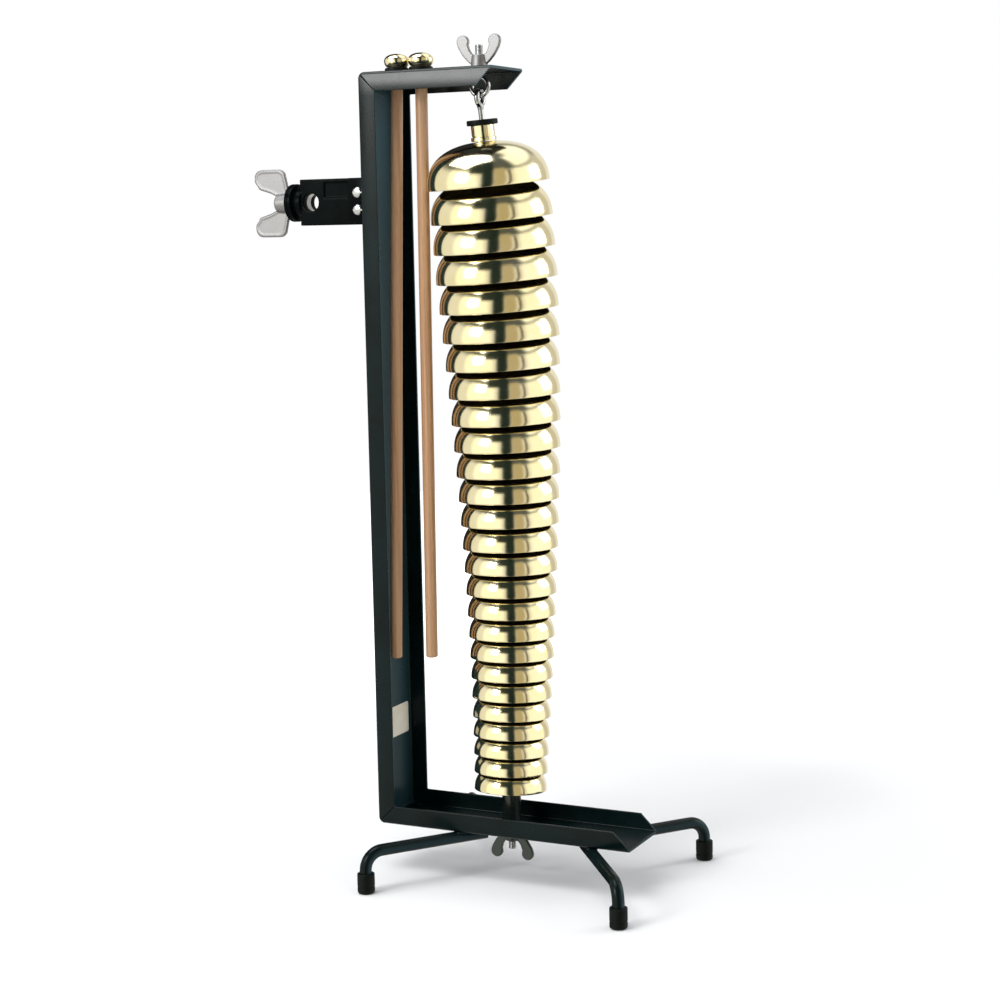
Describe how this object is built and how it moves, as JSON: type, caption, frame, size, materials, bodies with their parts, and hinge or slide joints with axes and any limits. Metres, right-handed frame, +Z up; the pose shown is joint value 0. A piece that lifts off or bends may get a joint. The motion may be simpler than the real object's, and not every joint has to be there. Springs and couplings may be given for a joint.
{
  "type": "bell tree",
  "caption": "Free-standing bell tree: nested brass bells threaded on a bowed rod, held between the arm and base of a folded steel frame with legs, a rod clamp and parked mallets.",
  "frame": {"origin": "on the floor, under the centre of the outline seen from above", "axes": "+Z up the upright, +X from the rod clamp and upright towards the bells and the base's free end, +Y across the channel, away from the viewer's side with the clamp's screw heads"},
  "size_m": [0.3558, 0.1936, 0.6572],
  "materials": {
    "frame_paint": "semi-gloss green-black paint",
    "rubber": "matt moulded rubber",
    "label_film": "blank self-adhesive film",
    "chrome": "bright plating",
    "brass": "polished, light lathe marks",
    "spacer_plastic": "plain extruded tube",
    "sleeve_plastic": "glossy dark tube",
    "clamp_paint": "black gloss paint on a casting",
    "shaft_wood": "oiled hardwood dowel"
  },
  "bodies": {
    "frame": {"upright_channel": "frame_paint", "top_arm_channel": "frame_paint", "base_channel": "frame_paint", "front_near_leg": "frame_paint", "front_far_leg": "frame_paint", "back_near_leg": "frame_paint", "back_far_leg": "frame_paint", "rubber_tips": "rubber", "blank_label": "label_film", "hanger_eye": "chrome", "upper_washer": "chrome", "bowed_rod": "chrome", "top_collar": "brass", "collar_washer": "rubber", "bell_spacers": "spacer_plastic", "lower_sleeve": "sleeve_plastic", "lower_washer": "chrome", "clamp_bracket": "clamp_paint", "clamp_body": "clamp_paint", "clamp_screws": "chrome", "clamp_cup": "clamp_paint", "mallet_grommets": "rubber"},
    "arm_wing_nut": {"upper_wing_nut": "chrome"},
    "base_wing_nut": {"lower_wing_nut": "chrome"},
    "clamp_nut": {"clamp_wing_nut": "chrome"},
    "clamp_bolt": {"clamp_eye_bolt": "chrome"},
    "inner_mallet": {"inner_mallet_shaft": "shaft_wood", "inner_mallet_head": "brass"},
    "outer_mallet": {"outer_mallet_shaft": "shaft_wood", "outer_mallet_head": "brass"},
    "bell_01_body": {"bell_01": "brass"},
    "bell_02_body": {"bell_02": "brass"},
    "bell_03_body": {"bell_03": "brass"},
    "bell_04_body": {"bell_04": "brass"},
    "bell_05_body": {"bell_05": "brass"},
    "bell_06_body": {"bell_06": "brass"},
    "bell_07_body": {"bell_07": "brass"},
    "bell_08_body": {"bell_08": "brass"},
    "bell_09_body": {"bell_09": "brass"},
    "bell_10_body": {"bell_10": "brass"},
    "bell_11_body": {"bell_11": "brass"},
    "bell_12_body": {"bell_12": "brass"},
    "bell_13_body": {"bell_13": "brass"},
    "bell_14_body": {"bell_14": "brass"},
    "bell_15_body": {"bell_15": "brass"},
    "bell_16_body": {"bell_16": "brass"},
    "bell_17_body": {"bell_17": "brass"},
    "bell_18_body": {"bell_18": "brass"},
    "bell_19_body": {"bell_19": "brass"},
    "bell_20_body": {"bell_20": "brass"},
    "bell_21_body": {"bell_21": "brass"},
    "bell_22_body": {"bell_22": "brass"},
    "bell_23_body": {"bell_23": "brass"},
    "bell_24_body": {"bell_24": "brass"},
    "bell_25_body": {"bell_25": "brass"},
    "bell_26_body": {"bell_26": "brass"}
  },
  "joints": [
    {"name": "arm_wing_nut_turn", "type": "hinge", "parent": "frame", "child": "arm_wing_nut", "pos_m": [0.02715, 0, 0.6332], "axis": [0, 0, 1], "continuous": true},
    {"name": "base_wing_nut_turn", "type": "hinge", "parent": "frame", "child": "base_wing_nut", "pos_m": [0.04215, 0, 0.0358], "axis": [0, 0, 1], "continuous": true},
    {"name": "clamp_nut_turn", "type": "hinge", "parent": "frame", "child": "clamp_nut", "pos_m": [-0.14285, 0, 0.534], "axis": [1, 0, 0], "range_deg": [0, 432]},
    {"name": "clamp_bolt_slide", "type": "slide", "parent": "frame", "child": "clamp_bolt", "axis": [-1, 0, 0], "range_m": [0, 0.0015]},
    {"name": "inner_mallet_lift", "type": "slide", "parent": "frame", "child": "inner_mallet", "axis": [0.0155, 0.0286, 0.9995], "range_m": [0, 0.47]},
    {"name": "outer_mallet_lift", "type": "slide", "parent": "frame", "child": "outer_mallet", "axis": [0.0065, 0, 1], "range_m": [0, 0.47]},
    {"name": "turn_of_bell_01", "type": "hinge", "parent": "frame", "child": "bell_01_body", "pos_m": [0.02877, 0.00227, 0.57705], "axis": [-0.0568, -0.0773, 0.9954], "continuous": true},
    {"name": "turn_of_bell_02", "type": "hinge", "parent": "frame", "child": "bell_02_body", "pos_m": [0.03023, 0.00419, 0.55076], "axis": [-0.0537, -0.0685, 0.9962], "continuous": true},
    {"name": "turn_of_bell_03", "type": "hinge", "parent": "frame", "child": "bell_03_body", "pos_m": [0.03144, 0.0057, 0.52756], "axis": [-0.0509, -0.0608, 0.9969], "continuous": true},
    {"name": "turn_of_bell_04", "type": "hinge", "parent": "frame", "child": "bell_04_body", "pos_m": [0.03259, 0.00702, 0.50436], "axis": [-0.0481, -0.0531, 0.9974], "continuous": true},
    {"name": "turn_of_bell_05", "type": "hinge", "parent": "frame", "child": "bell_05_body", "pos_m": [0.0337, 0.00818, 0.48078], "axis": [-0.0452, -0.0453, 0.9979], "continuous": true},
    {"name": "turn_of_bell_06", "type": "hinge", "parent": "frame", "child": "bell_06_body", "pos_m": [0.03472, 0.00915, 0.45759], "axis": [-0.0425, -0.0376, 0.9984], "continuous": true},
    {"name": "turn_of_bell_07", "type": "hinge", "parent": "frame", "child": "bell_07_body", "pos_m": [0.03565, 0.00992, 0.43482], "axis": [-0.0397, -0.03, 0.9988], "continuous": true},
    {"name": "turn_of_bell_08", "type": "hinge", "parent": "frame", "child": "bell_08_body", "pos_m": [0.03651, 0.01051, 0.41247], "axis": [-0.037, -0.0226, 0.9991], "continuous": true},
    {"name": "turn_of_bell_09", "type": "hinge", "parent": "frame", "child": "bell_09_body", "pos_m": [0.03729, 0.01092, 0.39058], "axis": [-0.0344, -0.0153, 0.9993], "continuous": true},
    {"name": "turn_of_bell_10", "type": "hinge", "parent": "frame", "child": "bell_10_body", "pos_m": [0.038, 0.01117, 0.36915], "axis": [-0.0318, -0.0082, 0.9995], "continuous": true},
    {"name": "turn_of_bell_11", "type": "hinge", "parent": "frame", "child": "bell_11_body", "pos_m": [0.03864, 0.01127, 0.34819], "axis": [-0.0293, -0.0013, 0.9996], "continuous": true},
    {"name": "turn_of_bell_12", "type": "hinge", "parent": "frame", "child": "bell_12_body", "pos_m": [0.03922, 0.01123, 0.32773], "axis": [-0.0268, 0.0055, 0.9996], "continuous": true},
    {"name": "turn_of_bell_13", "type": "hinge", "parent": "frame", "child": "bell_13_body", "pos_m": [0.03973, 0.01105, 0.30775], "axis": [-0.0244, 0.0122, 0.9996], "continuous": true},
    {"name": "turn_of_bell_14", "type": "hinge", "parent": "frame", "child": "bell_14_body", "pos_m": [0.04018, 0.01075, 0.28827], "axis": [-0.022, 0.0186, 0.9996], "continuous": true},
    {"name": "turn_of_bell_15", "type": "hinge", "parent": "frame", "child": "bell_15_body", "pos_m": [0.04058, 0.01034, 0.26927], "axis": [-0.0197, 0.0249, 0.9995], "continuous": true},
    {"name": "turn_of_bell_16", "type": "hinge", "parent": "frame", "child": "bell_16_body", "pos_m": [0.04092, 0.00982, 0.25077], "axis": [-0.0175, 0.0311, 0.9994], "continuous": true},
    {"name": "turn_of_bell_17", "type": "hinge", "parent": "frame", "child": "bell_17_body", "pos_m": [0.04122, 0.0092, 0.23273], "axis": [-0.0153, 0.0371, 0.9992], "continuous": true},
    {"name": "turn_of_bell_18", "type": "hinge", "parent": "frame", "child": "bell_18_body", "pos_m": [0.04147, 0.0085, 0.21517], "axis": [-0.0132, 0.0429, 0.999], "continuous": true},
    {"name": "turn_of_bell_19", "type": "hinge", "parent": "frame", "child": "bell_19_body", "pos_m": [0.04167, 0.00772, 0.19806], "axis": [-0.0111, 0.0486, 0.9988], "continuous": true},
    {"name": "turn_of_bell_20", "type": "hinge", "parent": "frame", "child": "bell_20_body", "pos_m": [0.04184, 0.00686, 0.18138], "axis": [-0.0091, 0.0541, 0.9985], "continuous": true},
    {"name": "turn_of_bell_21", "type": "hinge", "parent": "frame", "child": "bell_21_body", "pos_m": [0.04197, 0.00594, 0.16511], "axis": [-0.0071, 0.0595, 0.9982], "continuous": true},
    {"name": "turn_of_bell_22", "type": "hinge", "parent": "frame", "child": "bell_22_body", "pos_m": [0.04207, 0.00495, 0.14924], "axis": [-0.0052, 0.0648, 0.9979], "continuous": true},
    {"name": "turn_of_bell_23", "type": "hinge", "parent": "frame", "child": "bell_23_body", "pos_m": [0.04214, 0.0039, 0.13374], "axis": [-0.0033, 0.0699, 0.9975], "continuous": true},
    {"name": "turn_of_bell_24", "type": "hinge", "parent": "frame", "child": "bell_24_body", "pos_m": [0.04217, 0.0028, 0.11858], "axis": [-0.0014, 0.075, 0.9972], "continuous": true},
    {"name": "turn_of_bell_25", "type": "hinge", "parent": "frame", "child": "bell_25_body", "pos_m": [0.04218, 0.00165, 0.10374], "axis": [0.0004, 0.0799, 0.9968], "continuous": true},
    {"name": "turn_of_bell_26", "type": "hinge", "parent": "frame", "child": "bell_26_body", "pos_m": [0.04216, 0.00045, 0.0892], "axis": [0.0021, 0.0847, 0.9964], "continuous": true}
  ],
  "couplings": [
    {"joint": "clamp_bolt_slide", "follows": "clamp_nut_turn", "m_per_rad": 0.00019894}
  ]
}
